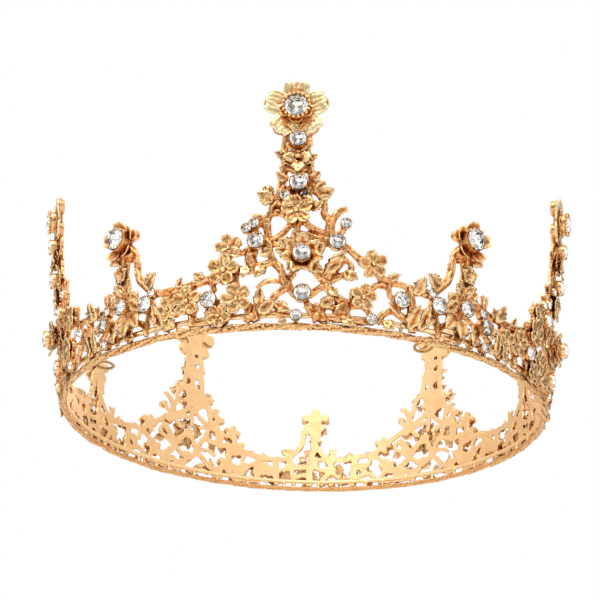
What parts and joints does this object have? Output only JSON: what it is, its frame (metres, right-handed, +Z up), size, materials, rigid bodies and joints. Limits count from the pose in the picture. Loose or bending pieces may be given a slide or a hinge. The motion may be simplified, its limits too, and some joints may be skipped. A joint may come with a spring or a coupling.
{
  "type": "crown",
  "caption": "Full-round gold filigree crown with tall flower-topped peaks, short spires between them, round clear stones, a bark-textured hoop and hair eyelets inside it.",
  "frame": {"origin": "on the hoop's axis, level with the hoop's underside, where the wearer's head takes it", "axes": "+Z up along the hoop's axis, -Y out of the front peak, +X to the left of someone wearing it with that peak in front"},
  "size_m": [0.1691, 0.1722, 0.068],
  "materials": {
    "gold_plate": "antique gold plate, semi-bright, with darker recesses",
    "hoop_metal": "antique gold plate over a rough bark-like casting",
    "stone": "clear faceted glass with a silver foil back"
  },
  "bodies": {
    "root": {"base_hoop": "hoop_metal", "hair_eyelet_1": "gold_plate", "hair_eyelet_2": "gold_plate", "peak_lattice_1": "gold_plate", "peak_flower_1": "gold_plate", "crest_flower_1": "gold_plate", "peak_lattice_2": "gold_plate", "peak_flower_2": "gold_plate", "crest_flower_2": "gold_plate", "peak_lattice_3": "gold_plate", "peak_flower_3": "gold_plate", "crest_flower_3": "gold_plate", "peak_lattice_4": "gold_plate", "peak_flower_4": "gold_plate", "crest_flower_4": "gold_plate", "peak_lattice_5": "gold_plate", "peak_flower_5": "gold_plate", "crest_flower_5": "gold_plate", "spire_lattice_1": "gold_plate", "spire_flower_1": "gold_plate", "spire_lattice_2": "gold_plate", "spire_flower_2": "gold_plate", "spire_lattice_3": "gold_plate", "spire_flower_3": "gold_plate", "spire_lattice_4": "gold_plate", "spire_flower_4": "gold_plate", "spire_lattice_5": "gold_plate", "spire_flower_5": "gold_plate", "peak_stone_1": "stone", "neck_stone_1": "stone", "collar_stone_1": "stone", "heart_stone_1": "stone", "root_stone_1": "stone", "peak_stone_2": "stone", "neck_stone_2": "stone", "collar_stone_2": "stone", "heart_stone_2": "stone", "root_stone_2": "stone", "peak_stone_3": "stone", "neck_stone_3": "stone", "collar_stone_3": "stone", "heart_stone_3": "stone", "root_stone_3": "stone", "peak_stone_4": "stone", "neck_stone_4": "stone", "collar_stone_4": "stone", "heart_stone_4": "stone", "root_stone_4": "stone", "peak_stone_5": "stone", "neck_stone_5": "stone", "collar_stone_5": "stone", "heart_stone_5": "stone", "root_stone_5": "stone", "spire_stone_1": "stone", "spire_stone_2": "stone", "spire_stone_3": "stone", "spire_stone_4": "stone", "spire_stone_5": "stone"}
  },
  "joints": []
}
